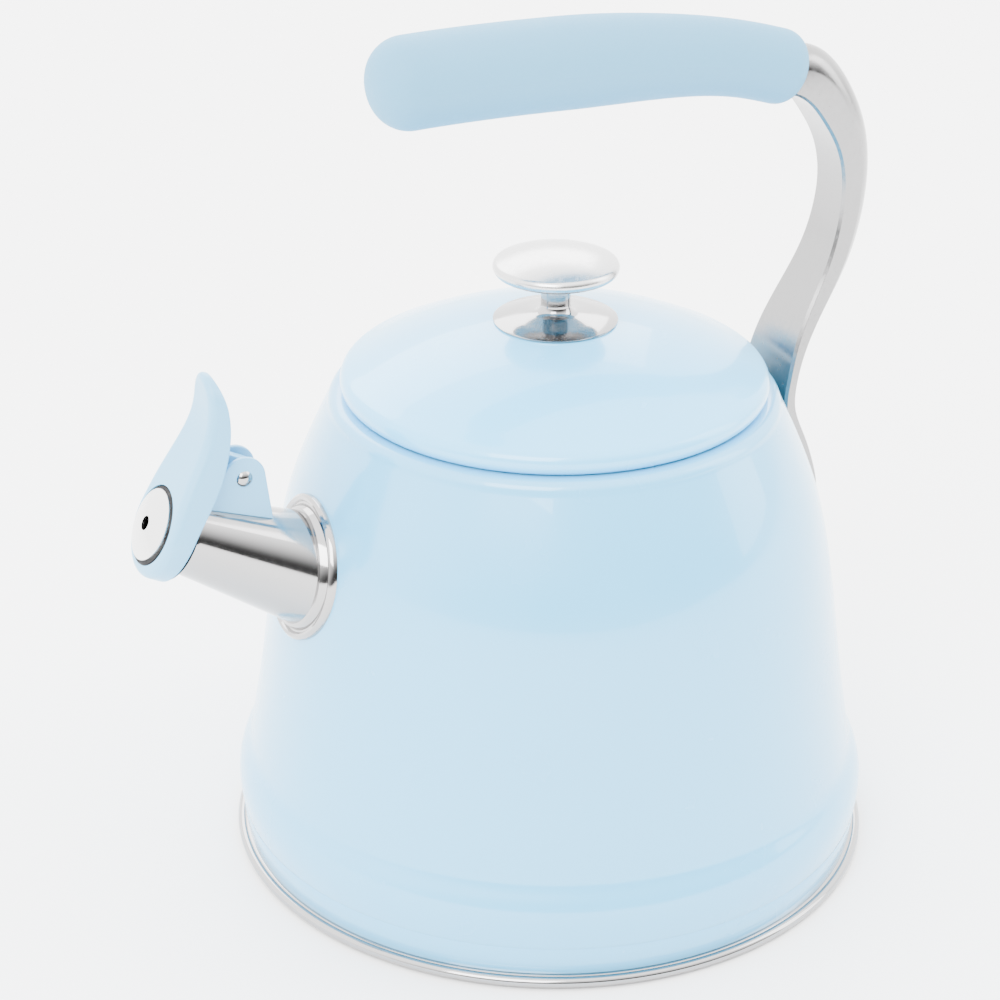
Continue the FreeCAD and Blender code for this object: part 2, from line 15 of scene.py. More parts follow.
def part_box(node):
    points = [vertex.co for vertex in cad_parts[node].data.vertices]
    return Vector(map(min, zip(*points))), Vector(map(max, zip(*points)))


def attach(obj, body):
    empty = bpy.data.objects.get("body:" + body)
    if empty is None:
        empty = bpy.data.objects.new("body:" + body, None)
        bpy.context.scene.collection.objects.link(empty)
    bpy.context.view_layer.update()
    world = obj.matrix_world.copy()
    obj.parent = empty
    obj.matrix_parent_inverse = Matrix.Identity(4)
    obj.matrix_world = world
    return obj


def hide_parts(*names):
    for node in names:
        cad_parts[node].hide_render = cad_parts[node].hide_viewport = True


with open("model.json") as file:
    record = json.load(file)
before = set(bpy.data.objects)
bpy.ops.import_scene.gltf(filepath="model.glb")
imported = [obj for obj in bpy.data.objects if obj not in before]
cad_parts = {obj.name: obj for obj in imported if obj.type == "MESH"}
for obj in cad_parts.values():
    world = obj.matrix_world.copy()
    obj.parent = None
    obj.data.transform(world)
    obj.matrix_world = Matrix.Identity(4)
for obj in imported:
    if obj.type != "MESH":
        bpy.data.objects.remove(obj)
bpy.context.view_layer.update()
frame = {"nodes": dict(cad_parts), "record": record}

MM = 0.001

# Camera, by its place round the kettle's axis: metres, degrees and the lens in millimetres
CAMERA_AZIMUTH = -26.0
CAMERA_REACH = 0.7594
CAMERA_HEIGHT = 0.47725
CAMERA_PITCH = 25.97
CAMERA_YAW = 1.18
CAMERA_ROLL = 0.315
CAMERA_LENS = 102.6

# Sheet and body, outlines as (radius, height)
SHEET = 0.8
BASE_R = 96.5
BASE_RING_R = 1.6
BASE_RING_START = 118.0
BASE_RING_SWEEP = 298.0
PAN_EDGE = (2.6, 3.2)    # how far inside BASE_R the pan's top and its underside end
BAND = [(93.4, 4.0), (93.7, 4.4), (94.55, 12.2), (94.4, 12.9)]
WALL = [(94.7, 13.4), (95.3, 18.0), (95.1, 23.5), (93.6, 28.0), (91.8, 31.5), (90.9, 35.5),
        (88.5, 50.0), (84.9, 76.0), (80.8, 101.0), (77.9, 112.5), (74.1, 123.0), (68.6, 135.5),
        (66.0, 141.0)]
NECK_R = 56.7
NECK_ROUND = 1.5
NECK_BOTTOM = 134.0
SHOULDER_MIDDLE = (65.0, 143.2)
SHOULDER_END_R = 62.8
SPOUT_HOLE_GAP = 2.0     # the wall's opening is this much smaller than the spout's root
SPOUT_HOLE_REACH = 20.0  # faces further inwards than this belong to the opposite wall
TURN_STEPS = 240

# Lid and knob
LID_R = 62.3
LID_RIM = [(1.7, 0.0), (0.0, 3.2), (2.1, 6.4)]  # in from LID_R, up from the lid's lowest edge
LID_RIM_STEPS = 16
LID_STEP = [(59.0, 151.6), (57.4, 152.3)]
LID_CREASE = (56.0, 153.0)
LID_DOME_MIDDLE = (36.0, 161.1)
LID_FLAT_R = 12.0
KNOB_CAP_R = 18.2
CAP_UNDER = (0.3, 4.0)   # rise of the underside's middle, width of its curved edge
CAP_EDGE = [(2.4, 0.0), (0.7, 0.6), (0.0, 2.1), (0.3, 3.1), (1.3, 3.9)]  # in from the edge, up
KNOB_STEM_R = 4.3
STEM_TOP = 0.8           # how far the stem reaches into the cap
FOOT_SUNK = 0.1
FOOT_EDGE = [(17.7, 0.0), (18.0, 0.25), (18.0, 0.6), (17.6, 0.85)]  # radius, height over the lid
FOOT_FLARE = [(6.8, 1.5), (4.9, 2.7), (KNOB_STEM_R, 5.0)]           # radius, height over its flat

# Spout
SPOUT_ROOT = Vector((-81.6, 0, 103.1))
SPOUT_TILT = math.radians(27.0)
SPOUT_LENGTH = 38.6
SPOUT_RADII = (15.9, 10.9)
SPOUT_WALL = 1.2
SPOUT_SUNK = 7.0
SPOUT_LIP_DEPTH = 0.4
SPOUT_LIP = [(-0.15, -0.05), (0.1 - SPOUT_WALL, 0.0)]  # out and up from the mouth's outer edge
COLLAR_CENTRE_Z = 102.0
COLLAR_SECTION = [(21.0, -0.6), (21.0, 0.6), (20.7, 1.4), (19.9, 1.9), (19.1, 1.6), (18.6, 0.8),
                  (18.1, 0.8), (17.6, 1.7), (16.9, 2.5), (16.0, 2.6), (15.3, 2.0), (15.0, 0.6)]

# Hinge and whistle, in the spout's frame
PIN_X, PIN_Z = 21.7, 29.2
PIN_R = 1.5
PIN_HEAD_R = 2.35
PIN_HEAD_RISE = 1.1
EAR_IN, EAR_OUT = 3.6, 5.2
EAR_R = 6.3
EAR_FRONT = 35.2
EAR_BACK = (6.6, 11.3)
EAR_FOOT = 4.2           # how far in front of EAR_BACK the ear meets the spout
EAR_BEVEL = 0.45
SADDLE = (18.2, 35.0, 2.6)  # back, front, thickness
SADDLE_TUCK = 0.4        # how far the saddle reaches into each ear
SADDLE_BEVEL = 0.4
BRACKET_SUNK = 0.02
KNUCKLE_R = 4.6
KNUCKLE_HALF = 1.9
KNUCKLE_TOP = 39.6
KNUCKLE_BEVEL = 0.35
LEVER_R = 14.6
LEVER_TIP_R = 8.0
LEVER_TIP_X = 38.0
LEVER_ROUND = 2.7
LEVER_BACK_ROUND = 0.5
LEVER_BACK = [(-16.0, 39.4), (4.0, 39.4), (18.0, 37.9), (28.0, 38.8), (37.0, 41.9), (43.0, 46.2),
              (47.5, 51.4)]
LEVER_FRONT = [(-16.0, 46.3), (-1.0, 46.8), (12.0, 47.1), (24.0, 46.6), (33.0, 47.1), (40.0, 49.5),
               (47.5, 53.9)]
FACE = (10.3, 46.9, 1.6)  # radius, seat, rise of its middle
FACE_SHEET = 0.8
FACE_HOLE_R = 2.1
FIT = 0.05
WEB = (40.6, 42.0)       # the lever's web between the seal and the whistle
WEB_HOLE_R = 8.1
POCKET_ENDS = (37.0, 50.0)
# The ring's outside lies past the disc's edge, so its black shows round the disc as painted shade for the
# gap there.
WHISTLE_RING_RADII = (8.0, 9.8, 11.5)  # hole, step, outside
WHISTLE_RING_STEP = 0.8
WHISTLE_RING_CHAMFER = 0.3
SEAL_RADII = (8.6, 12.6, 14.0)  # hole, let-in part, lip
SEAL_HEIGHTS = (38.9, 39.4, 40.5)  # face, back of the lip, back of the let-in part
SEAL_CHAMFER = 0.2

# Handle, (x, z) in the plane of symmetry
GRIP_LINE = [(-56.4, 241.3), (-40.0, 241.8), (0.0, 241.4), (28.0, 239.9), (58.0, 235.4),
             (75.4, 230.0)]
GRIP_RADII = (13.0, 10.9)
GRIP_TAPER = (0.0, 62.0)
GRIP_ROUND = (11.0, 6.0)
GRIP_RIDGE = 0.11
GRIP_RIDGE_END_R = 4.0
# Points of the strap's inner side: x, z, direction of its thickness in degrees, thickness, half width
STRAP = [(66.0, 226.4, 62.0, 13.5, 7.0), (73.8, 223.9, 56.0, 15.0, 7.8),
         (81.2, 216.2, 38.0, 14.6, 8.0), (87.0, 206.0, 20.0, 12.8, 8.0),
         (89.2, 195.5, 3.0, 11.3, 8.0), (88.4, 184.5, -9.0, 10.6, 8.3),
         (85.2, 173.0, -19.0, 10.0, 9.0), (79.2, 160.5, -24.0, 8.8, 10.2),
         (73.9, 148.5, -21.0, 6.8, 11.8), (71.2, 138.5, -4.0, 5.6, 13.0),
         (70.4, 128.0, 20.0, 6.4, 13.4), (74.6, 117.0, 20.0, 6.4, 13.4),
         (77.6, 106.0, 14.0, 7.6, 13.4), (79.9, 95.4, 12.0, 8.2, 13.4)]
STRAP_EDGE = 0.55
STRAP_CHAMFER = 0.8
STRAP_BEVEL = 0.12
FOOT_BOTTOM = 95.0
FOOT_SQUARENESS = 3      # 2 would round the foot's end to a semicircle

# Light from the surroundings: brightest up and behind, dim low in front
SKY_DIRECTION = (0.0, 0.42, 0.5)
SKY_FADE = (-0.34, 0.26)
SKY_STRENGTH = (0.15, 6.0)
FLOOR_HALF = 4.0         # metres

# Depths of surface marks, in metres
ENAMEL_PEEL = 12e-6
BUFFING_DEPTH = 0.7e-6
BRUSHING_DEPTH = 3e-6


# Curves

def spline(points, count):
    """Natural cubic spline through points; its length is measured in the first two values."""
    p = np.array(points, float)
    knots = np.concatenate([[0], np.cumsum(np.linalg.norm(np.diff(p[:, :2], axis=0), axis=1))])
    gap = np.diff(knots)
    system = np.eye(len(p))
    right = np.zeros_like(p)
    for i in range(1, len(p) - 1):
        system[i, i - 1:i + 2] = gap[i - 1], 2 * (gap[i - 1] + gap[i]), gap[i]
        right[i] = 6 * ((p[i + 1] - p[i]) / gap[i] - (p[i] - p[i - 1]) / gap[i - 1])
    bend = np.linalg.solve(system, right)
    at = np.linspace(0, knots[-1], count)
    k = np.clip(np.searchsorted(knots, at, side="right") - 1, 0, len(p) - 2)
    u = (at - knots[k])[:, None]
    v = (knots[k + 1] - at)[:, None]
    h = gap[k][:, None]
    curved = (bend[k] * v ** 3 + bend[k + 1] * u ** 3) / (6 * h)
    straight = (p[k] / h - bend[k] * h / 6) * v + (p[k + 1] / h - bend[k + 1] * h / 6) * u
    return curved + straight


def arc(first, middle, last, count):
    """Points of the circle's arc from first through middle to last."""
    a, b, c = (complex(*point) for point in (first, middle, last))
    w = (c - a) / (b - a)
    centre = (b - a) * (w - abs(w) ** 2) / (w - w.conjugate()) + a
    start = a - centre
    turn = math.atan2((start.conjugate() * (c - centre)).imag, (start.conjugate() * (c - centre)).real)
    half = math.atan2((start.conjugate() * (b - centre)).imag, (start.conjugate() * (b - centre)).real)
    if half * turn < 0:
        turn -= math.copysign(2 * math.pi, turn)
    spots = [centre + start * complex(math.cos(turn * i / (count - 1)), math.sin(turn * i / (count - 1)))
             for i in range(count)]
    return [(spot.real, spot.imag) for spot in spots]


def dome_points(radius, low, top, count):
    """Section of a shallow dome, from its edge at height low to its top on the axis."""
    rise = top - low
    ball = (radius ** 2 + rise ** 2) / (2 * rise)
    return [(ball * math.sin(a), top - ball * (1 - math.cos(a)))
            for a in np.linspace(math.asin(radius / ball), 0, count)]


def inset(points, depth):
    """Points of an outline moved towards the kettle's inside, square to the outline."""
    p = np.array(points, float)
    along = np.gradient(p, axis=0)
    along /= np.linalg.norm(along, axis=1)[:, None]
    return p + depth * np.stack([-along[:, 1], along[:, 0]], 1)


WALL_LINE = spline(WALL, 150)


def wall_radius(z):
    return float(np.interp(z, WALL_LINE[:, 1], WALL_LINE[:, 0]))


def wall_slope(z):
    """Upward tilt of the wall's outward normal."""
    return math.atan((wall_radius(z - 1) - wall_radius(z + 1)) / 2)


def on_spout():
    """Matrix from the spout's frame to the kettle's, in millimetres."""
    up = Vector((math.sin(SPOUT_TILT), 0, math.cos(SPOUT_TILT)))
    along = Vector((-math.cos(SPOUT_TILT), 0, math.sin(SPOUT_TILT)))
    turn = Matrix((up, Vector((0, 1, 0)), along)).transposed()
    return Matrix.Translation(SPOUT_ROOT) @ turn.to_4x4()


SPOUT = on_spout()
UPRIGHT = Matrix.Identity(4)
PIN_TURN = SPOUT @ Matrix.Translation((PIN_X, 0, PIN_Z)) @ Matrix.Rotation(math.radians(-90), 4, "X")


# Materials

def shader(name, color, **inputs):
    """New material and its Principled shader with even values set on the shader itself."""
    made = bpy.data.materials.new(name)
    made.use_nodes = True
    principled = made.node_tree.nodes["Principled BSDF"]
    principled.inputs["Base Color"].default_value = (*color, 1)
    for socket, value in inputs.items():
        principled.inputs[socket.replace("_", " ")].default_value = value
    return made, principled


def noise(tree, scale, detail=3.0, stretch=(1, 1, 1)):
    """Noise over the object's own coordinates."""
    place = tree.nodes.new("ShaderNodeTexCoord")
    mapping = tree.nodes.new("ShaderNodeMapping")
    mapping.inputs["Scale"].default_value = stretch
    made = tree.nodes.new("ShaderNodeTexNoise")
    made.inputs["Scale"].default_value = scale
    made.inputs["Detail"].default_value = detail
    tree.links.new(place.outputs["Object"], mapping.inputs["Vector"])
    tree.links.new(mapping.outputs["Vector"], made.inputs["Vector"])
    return made.outputs["Fac"]


def vary_color(made, principled, fac, first, second):
    """Base colour that drifts between two colours as fac does."""
    mix = made.node_tree.nodes.new("ShaderNodeMix")
    mix.data_type = "RGBA"
    mix.inputs[6].default_value = (*first, 1)
    mix.inputs[7].default_value = (*second, 1)
    made.node_tree.links.new(fac, mix.inputs[0])
    made.node_tree.links.new(mix.outputs[2], principled.inputs["Base Color"])


def vary_roughness(made, principled, fac, low, high):
    """Roughness that follows noise, whose values lie mostly between 0.3 and 0.7."""
    spread = made.node_tree.nodes.new("ShaderNodeMapRange")
    spread.inputs["From Min"].default_value = 0.3
    spread.inputs["From Max"].default_value = 0.7
    spread.inputs["To Min"].default_value = low
    spread.inputs["To Max"].default_value = high
    made.node_tree.links.new(fac, spread.inputs["Value"])
    made.node_tree.links.new(spread.outputs["Result"], principled.inputs["Roughness"])


def add_bump(made, principled, fac, depth, strength=1.0):
    bump = made.node_tree.nodes.new("ShaderNodeBump")
    bump.inputs["Distance"].default_value = depth
    bump.inputs["Strength"].default_value = strength
    made.node_tree.links.new(fac, bump.inputs["Height"])
    made.node_tree.links.new(bump.outputs["Normal"], principled.inputs["Normal"])


def shade(color, factor):
    return tuple(min(1.0, channel * factor) for channel in color)


def enamel(name, color):
    """Gloss paint under a clear coat, with faint orange peel and a little drift in colour."""
    made, principled = shader(name, color, IOR=1.5, Coat_Weight=0.6, Coat_Roughness=0.03)
    tree = made.node_tree
    vary_color(made, principled, noise(tree, 9), shade(color, 0.985), shade(color, 1.01))
    vary_roughness(made, principled, noise(tree, 60), 0.20, 0.28)
    add_bump(made, principled, noise(tree, 420, 2), ENAMEL_PEEL)
    return made


def polished(name, color, roughness, stretch):
    """Polished steel with the last buffing marks lying one way."""
    made, principled = shader(name, color, Metallic=1.0)
    tree = made.node_tree
    marks = noise(tree, 700, 4, stretch)
    vary_color(made, principled, noise(tree, 25), shade(color, 0.96), shade(color, 1.03))
    vary_roughness(made, principled, marks, roughness * 0.8, roughness * 1.25)
    add_bump(made, principled, marks, BUFFING_DEPTH)
    return made


def brushed(name, color, roughness, stretch):
    """Brushed or drawn metal with coarser marks lying one way."""
    made, principled = shader(name, color, Metallic=1.0)
    tree = made.node_tree
    marks = noise(tree, 500, 6, stretch)
    vary_color(made, principled, marks, shade(color, 0.88), shade(color, 1.08))
    vary_roughness(made, principled, marks, roughness * 0.8, roughness * 1.3)
    add_bump(made, principled, marks, BRUSHING_DEPTH)
    return made


def moulded(name, color, roughness, grain, depth, **inputs):
    """Moulded plastic or rubber: fine grain, slightly uneven colour and gloss."""
    made, principled = shader(name, color, **inputs)
    tree = made.node_tree
    vary_color(made, principled, noise(tree, 30), shade(color, 0.97), shade(color, 1.02))
    vary_roughness(made, principled, noise(tree, grain * 0.4), roughness * 0.85, roughness * 1.15)
    add_bump(made, principled, noise(tree, grain, 4), depth)
    return made


# These base colours suit how the view transform shows them. Real paint is paler and real steel
# is brighter.
PAINT = (0.095, 0.45, 0.75)
MATERIALS = {
    "body_paint": enamel("body_enamel", PAINT),
    # The lid's enamel is the body's paint made 1.18 times lighter: painted light for the lid's top, which
    # faces the light.
    "lid_paint": enamel("lid_enamel_painted_light", shade(PAINT, 1.18)),
    "pale_plastic": moulded("pale_blue_plastic", (0.15, 0.43, 0.66), 0.34, 1500, 0.000008, IOR=1.46),
    "grip_silicone": moulded("pale_blue_silicone", (0.095, 0.30, 0.47), 0.62, 2600, 0.00002,
                             Specular_IOR_Level=0.3),
    "polished_steel": polished("polished_steel", (0.33, 0.325, 0.325), 0.10, (1, 1, 0.05)),
    "plain_steel": brushed("brushed_steel", (0.48, 0.475, 0.47), 0.3, (1, 0.06, 1)),
    "spreader_metal": brushed("turned_aluminium", (0.70, 0.70, 0.71), 0.42, (1, 1, 1)),
    # This black also fills the gap round the whistle's disc, as painted shade.
    "black_plastic": moulded("black_nylon_and_gap_shade", (0.005, 0.005, 0.006), 0.5, 1800, 0.000002,
                             Specular_IOR_Level=0.1),
    "seal_silicone": moulded("black_silicone", (0.006, 0.006, 0.008), 0.6, 1800, 0.000002,
                             Specular_IOR_Level=0.1),
    "core_plastic": moulded("filled_nylon", (0.05, 0.055, 0.06), 0.6, 900, 0.00003),
}
FACE_STEEL = polished("satin_steel", (0.70, 0.695, 0.69), 0.2, (1, 1, 1))
KNOB_STEEL = polished("cap_steel", (0.56, 0.555, 0.555), 0.24, (1, 1, 1))
STRAP_STEEL = polished("buffed_steel", (0.25, 0.247, 0.247), 0.22, (1, 1, 1))
INNER_STEEL = brushed("drawn_steel", (0.50, 0.495, 0.49), 0.28, (1, 1, 0.04))


# Meshes

def piece(name, mesh, body, slot, nodes=(), sharp=35.0, materials=None):
    """A shown piece: smooth shading, its material, its body and the CAD nodes that it stands for."""
    mesh.polygons.foreach_set("use_smooth", [True] * len(mesh.polygons))
    mesh.set_sharp_from_angle(angle=math.radians(sharp))
    made = bpy.data.objects.new(name, mesh)
    bpy.context.scene.collection.objects.link(made)
    for material in materials or [MATERIALS[slot]]:
        made.data.materials.append(material)
    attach(made, body)
    if nodes:
        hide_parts(*nodes)
    return made


def mesh_from(name, points, faces, place=UPRIGHT):
    """Mesh from points in millimetres; doubled points are merged and normals face outwards."""
    mesh = bpy.data.meshes.new(name)
    mesh.from_pydata([(place @ Vector(point)) * MM for point in points], [], faces)
    shape = bmesh.new()
    shape.from_mesh(mesh)
    bmesh.ops.remove_doubles(shape, verts=shape.verts, dist=1e-6)
    bmesh.ops.dissolve_degenerate(shape, edges=shape.edges, dist=1e-7)
    bmesh.ops.recalc_face_normals(shape, faces=shape.faces)
    shape.to_mesh(mesh)
    shape.free()
    return mesh


def rings_mesh(name, rings, place=UPRIGHT, closed=False, capped=False):
    """Mesh from rings of points; closed joins the last ring to the first, capped fills both ends."""
    count = len(rings[0])
    points = [point for ring in rings for point in ring]
    faces = []
    pairs = len(rings) if closed else len(rings) - 1
    for i in range(pairs):
        low = i * count
        high = (i + 1) % len(rings) * count
        for j in range(count):
            k = (j + 1) % count
            faces.append((low + j, low + k, high + k, high + j))
    if capped:
        faces.append(tuple(range(count)))
        faces.append(tuple(range(len(points) - count, len(points))))
    return mesh_from(name, points, faces, place)


def lathe(name, outline, place=UPRIGHT, steps=TURN_STEPS, closed=True):
    """Outline of (radius, height) points turned about Z."""
    rings = []
    for radius, height in outline:
        angles = (2 * math.pi * i / steps for i in range(steps))
        rings.append([(radius * math.cos(a), radius * math.sin(a), height) for a in angles])
    return rings_mesh(name, rings, place, closed)


def extrude_outline(name, outline, low, high, place=UPRIGHT):
    """Flat outline of (x, z) points made solid between y = low and y = high."""
    rings = [[(x, y, z) for x, z in outline] for y in (low, high)]
    return rings_mesh(name, rings, place, capped=True)


def bevel(made, width, segments=3, angle=30.0):
    rounding = made.modifiers.new("edges", "BEVEL")
    rounding.width = width * MM
    rounding.segments = segments
    rounding.limit_method = "ANGLE"
    rounding.angle_limit = math.radians(angle)
    rounding.harden_normals = True
    return made


def cut(made, cutter_mesh):
    """Takes a cutter's volume out of a piece, for good."""
    cutter = bpy.data.objects.new("cutter", cutter_mesh)
    bpy.context.scene.collection.objects.link(cutter)
    hole = made.modifiers.new("hole", "BOOLEAN")
    hole.object = cutter
    hole.operation = "DIFFERENCE"
    hole.solver = "EXACT"
    bpy.context.view_layer.update()
    done = bpy.data.meshes.new_from_object(made.evaluated_get(bpy.context.evaluated_depsgraph_get()))
    made.modifiers.clear()
    made.data = done
    bpy.data.objects.remove(cutter)
    done.polygons.foreach_set("use_smooth", [True] * len(done.polygons))
    done.set_sharp_from_angle(angle=math.radians(35))


# Base, body and lid

def top_of(node):
    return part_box(node)[1].z / MM


def bottom_of(node):
    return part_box(node)[0].z / MM


def base_pan():
    """Polished pan whose edge is rolled into a ring."""
    top = top_of("base_pan")
    across, up = BASE_R - BASE_RING_R, bottom_of("base_pan") + BASE_RING_R
    angles = [math.radians(BASE_RING_START - BASE_RING_SWEEP * i / 40) for i in range(1, 41)]
    ring = [(across + BASE_RING_R * math.cos(a), up + BASE_RING_R * math.sin(a)) for a in angles]
    outline = [(0, top), (BASE_R - PAN_EDGE[0], top)] + ring
    outline += [(BASE_R - PAN_EDGE[1], top - SHEET), (0, top - SHEET)]
    piece("rolled_base_pan", lathe("rolled_base_pan", outline), "root", "polished_steel", ["base_pan"])


def body_shell():
    """Enamelled wall with its neck, bare steel inside, open where the spout's root sits."""
    seat = top_of("body_shell")
    shoulder = arc(WALL[-1], SHOULDER_MIDDLE, (SHOULDER_END_R, seat), 10)
    corner = NECK_R + NECK_ROUND
    diagonal = NECK_ROUND * (1 - math.sqrt(0.5))
    neck = arc((corner, seat), (NECK_R + diagonal, seat - diagonal), (NECK_R, seat - NECK_ROUND), 8)
    outer = BAND + [tuple(point) for point in WALL_LINE] + shoulder[1:] + neck + [(NECK_R, NECK_BOTTOM)]
    inner = [tuple(point) for point in inset(outer, SHEET)][::-1]
    mesh = lathe("enamel_body", outer + inner)
    shape = bmesh.new()
    shape.from_mesh(mesh)
    axis = (SPOUT.to_3x3() @ Vector((0, 0, 1))).normalized()
    gone = []
    for face in shape.faces:
        away = face.calc_center_median() / MM - SPOUT_ROOT
        if away.cross(axis).length < SPOUT_RADII[0] - SPOUT_HOLE_GAP and away.x < SPOUT_HOLE_REACH:
            gone.append(face)
        outward = face.normal.dot(Vector((*face.calc_center_median().xy.normalized(), 0)))
        face.material_index = 1 if outward < -0.05 else 0
    bmesh.ops.delete(shape, geom=gone, context="FACES")
    shape.to_mesh(mesh)
    shape.free()
    piece("enamel_body", mesh, "root", "body_paint", ["body_shell"],
          materials=[MATERIALS["body_paint"], INNER_STEEL])


def lid_outline():
    """Section of the lid's outer side, from its lowest edge over the rim to the axis."""
    bottom = bottom_of("lid_shell")
    flat = top_of("lid_shell")
    rim = arc(*[(LID_R - drawn_in, bottom + up) for drawn_in, up in LID_RIM], LID_RIM_STEPS)
    dome = arc(LID_CREASE, LID_DOME_MIDDLE, (LID_FLAT_R, flat), 60)
    return rim + LID_STEP + dome + [(0.0, flat)]


def lid_height(radius):
    """Height of the lid's outer side at a radius inside its rim."""
    top = lid_outline()[LID_RIM_STEPS:]
    return float(np.interp(-radius, [-point[0] for point in top], [point[1] for point in top]))


def lid_shell():
    outer = lid_outline()
    under = [tuple(point) for point in inset(outer, SHEET)][::-1]
    under[0] = (0.0, under[0][1])
    piece("enamel_lid", lathe("enamel_lid", outer + under), "lid", "lid_paint", ["lid_shell"])


def knob_cap():
    """Flat domed cap with a full round edge."""
    low = bottom_of("knob_cap")
    start, curl, wide, bulge, shoulder = [(KNOB_CAP_R - drawn_in, low + up) for drawn_in, up in CAP_EDGE]
    outline = [(0, low + CAP_UNDER[0]), (KNOB_CAP_R - CAP_UNDER[1], low)]
    outline += arc(start, curl, wide, 12) + arc(wide, bulge, shoulder, 12)[1:]
    outline += dome_points(*shoulder, top_of("knob_cap"), 40)[1:]
    piece("knob_cap_polished", lathe("knob_cap_polished", outline, steps=160, closed=False), "lid",
          "polished_steel", ["knob_cap"], materials=[KNOB_STEEL])


def knob_stem():
    """Stem that flares into a disc lying on the lid."""
    flat = top_of("lid_shell")
    top = bottom_of("knob_cap") + STEM_TOP
    edge = [(radius, lid_height(FOOT_EDGE[1][0]) + up) for radius, up in FOOT_EDGE]
    outline = [(0, flat - FOOT_SUNK), (LID_FLAT_R, flat - FOOT_SUNK)] + edge
    outline += [(LID_FLAT_R, flat + FOOT_EDGE[-1][1])]
    outline += arc(*[(radius, flat + up) for radius, up in FOOT_FLARE], 12)
    outline += [(KNOB_STEM_R, top), (0, top)]
    piece("knob_stem_polished", lathe("knob_stem_polished", outline, steps=128, closed=False), "lid",
          "polished_steel", ["knob_stem"])


# Spout, hinge and whistle

def spout_radius(z):
    return SPOUT_RADII[0] + (SPOUT_RADII[1] - SPOUT_RADII[0]) * z / SPOUT_LENGTH


def spout_tube():
    """Tapered tube with a rounded lip."""
    outer = [(spout_radius(z), z) for z in np.linspace(-SPOUT_SUNK, SPOUT_LENGTH - SPOUT_LIP_DEPTH, 30)]
    lip = [(SPOUT_RADII[1] + out, SPOUT_LENGTH + up) for out, up in SPOUT_LIP]
    inner = [(radius - SPOUT_WALL, z) for radius, z in reversed(outer)]
    mesh = lathe("polished_spout", outer + lip + inner, SPOUT, 160)
    piece("polished_spout", mesh, "root", "polished_steel", ["spout_tube"])


def spout_collar():
    """Rolled flange that follows the wall round the spout's root."""
    rings = []
    for radius, height in COLLAR_SECTION:
        ring = []
        for i in range(160):
            angle = 2 * math.pi * i / 160
            z = COLLAR_CENTRE_Z + radius * math.cos(angle) * math.cos(wall_slope(COLLAR_CENTRE_Z))
            y = radius * math.sin(angle)
            tilt = wall_slope(z)
            reach = wall_radius(z) + height * math.cos(tilt)
            ring.append((-math.sqrt(reach ** 2 - y ** 2), y, z + height * math.sin(tilt)))
        rings.append(ring)
    piece("rolled_collar", rings_mesh("rolled_collar", rings, closed=True), "root", "polished_steel",
          ["spout_collar"])


def ear_outline(y):
    """Side view of an ear: round at the pin, its foot on the spout at distance y from the middle."""
    back_x, back_z = EAR_BACK
    front_x = PIN_X - math.sqrt(EAR_R ** 2 - (EAR_FRONT - PIN_Z) ** 2)
    start = math.atan2(front_x - PIN_X, EAR_FRONT - PIN_Z)
    slope = math.atan2(PIN_X - back_x, PIN_Z - back_z)
    reach = math.hypot(PIN_X - back_x, PIN_Z - back_z)
    end = slope + math.asin(EAR_R / reach) + math.pi / 2
    crown = [(PIN_X + EAR_R * math.sin(a), PIN_Z + EAR_R * math.cos(a)) for a in np.linspace(start, end, 28)]
    foot_z = np.linspace(back_z + EAR_FOOT, EAR_FRONT, 8)
    foot = [(math.sqrt(spout_radius(z) ** 2 - y ** 2) - BRACKET_SUNK, z) for z in foot_z]
    return foot + crown


def bracket_ears():
    """The two ears that hold the pin."""
    for side, name in ((-1, "bracket_ear_near"), (1, "bracket_ear_far")):
        mesh = extrude_outline(name, ear_outline(EAR_OUT), side * EAR_IN, side * EAR_OUT, SPOUT)
        ear = piece(name, mesh, "root", "pale_plastic", ["hinge_bracket"])
        bevel(ear, EAR_BEVEL, 4)


def bracket_saddle():
    """Curved plate on the spout that joins the ears."""
    back, front, thick = SADDLE
    rings = []
    for z in np.linspace(back, front, 12):
        base = spout_radius(z)
        wide = math.asin((EAR_IN + SADDLE_TUCK) / base)
        angles = np.linspace(-wide, wide, 17)
        sunk = base - BRACKET_SUNK
        low = [(sunk * math.cos(a), sunk * math.sin(a), z) for a in angles]
        high = [((base + thick) * math.cos(a), base * math.sin(a), z) for a in angles[::-1]]
        rings.append(low + high)
    saddle = piece("bracket_saddle", rings_mesh("bracket_saddle", rings, SPOUT, capped=True), "root",
                   "pale_plastic")
    bevel(saddle, SADDLE_BEVEL)


def hinge_pin():
    """Pin with a low domed head outside each ear."""
    rim = [(PIN_R, EAR_OUT), (PIN_HEAD_R, EAR_OUT)]
    right = rim + dome_points(PIN_HEAD_R, EAR_OUT, EAR_OUT + PIN_HEAD_RISE, 14)
    left = [(radius, -height) for radius, height in reversed(right)]
    piece("domed_hinge_pin", lathe("domed_hinge_pin", left + right, PIN_TURN, 64, closed=False), "root",
          "polished_steel", ["hinge_pin"])


def lever_outline(steps=56):
    """Front view of the lever: a large circle and a small one joined by their tangents."""
    lean = math.asin((LEVER_R - LEVER_TIP_R) / LEVER_TIP_X)
    low = [(LEVER_R * math.cos(a), LEVER_R * math.sin(a))
           for a in np.linspace(math.pi / 2 - lean, 3 * math.pi / 2 + lean, steps)]
    high = [(LEVER_TIP_X + LEVER_TIP_R * math.cos(a), LEVER_TIP_R * math.sin(a))
            for a in np.linspace(-math.pi / 2 + lean, math.pi / 2 - lean, steps // 2)]
    side = np.linspace(0, 1, 26)[1:-1]
    down = [(low[-1][0] + (high[0][0] - low[-1][0]) * t, low[-1][1] + (high[0][1] - low[-1][1]) * t)
            for t in side]
    up = [(high[-1][0] + (low[0][0] - high[-1][0]) * t, high[-1][1] + (low[0][1] - high[-1][1]) * t)
          for t in side]
    return np.array(low + down + high + up)


def depth_at(curve, x):
    return np.interp(x, curve[:, 0], curve[:, 1])


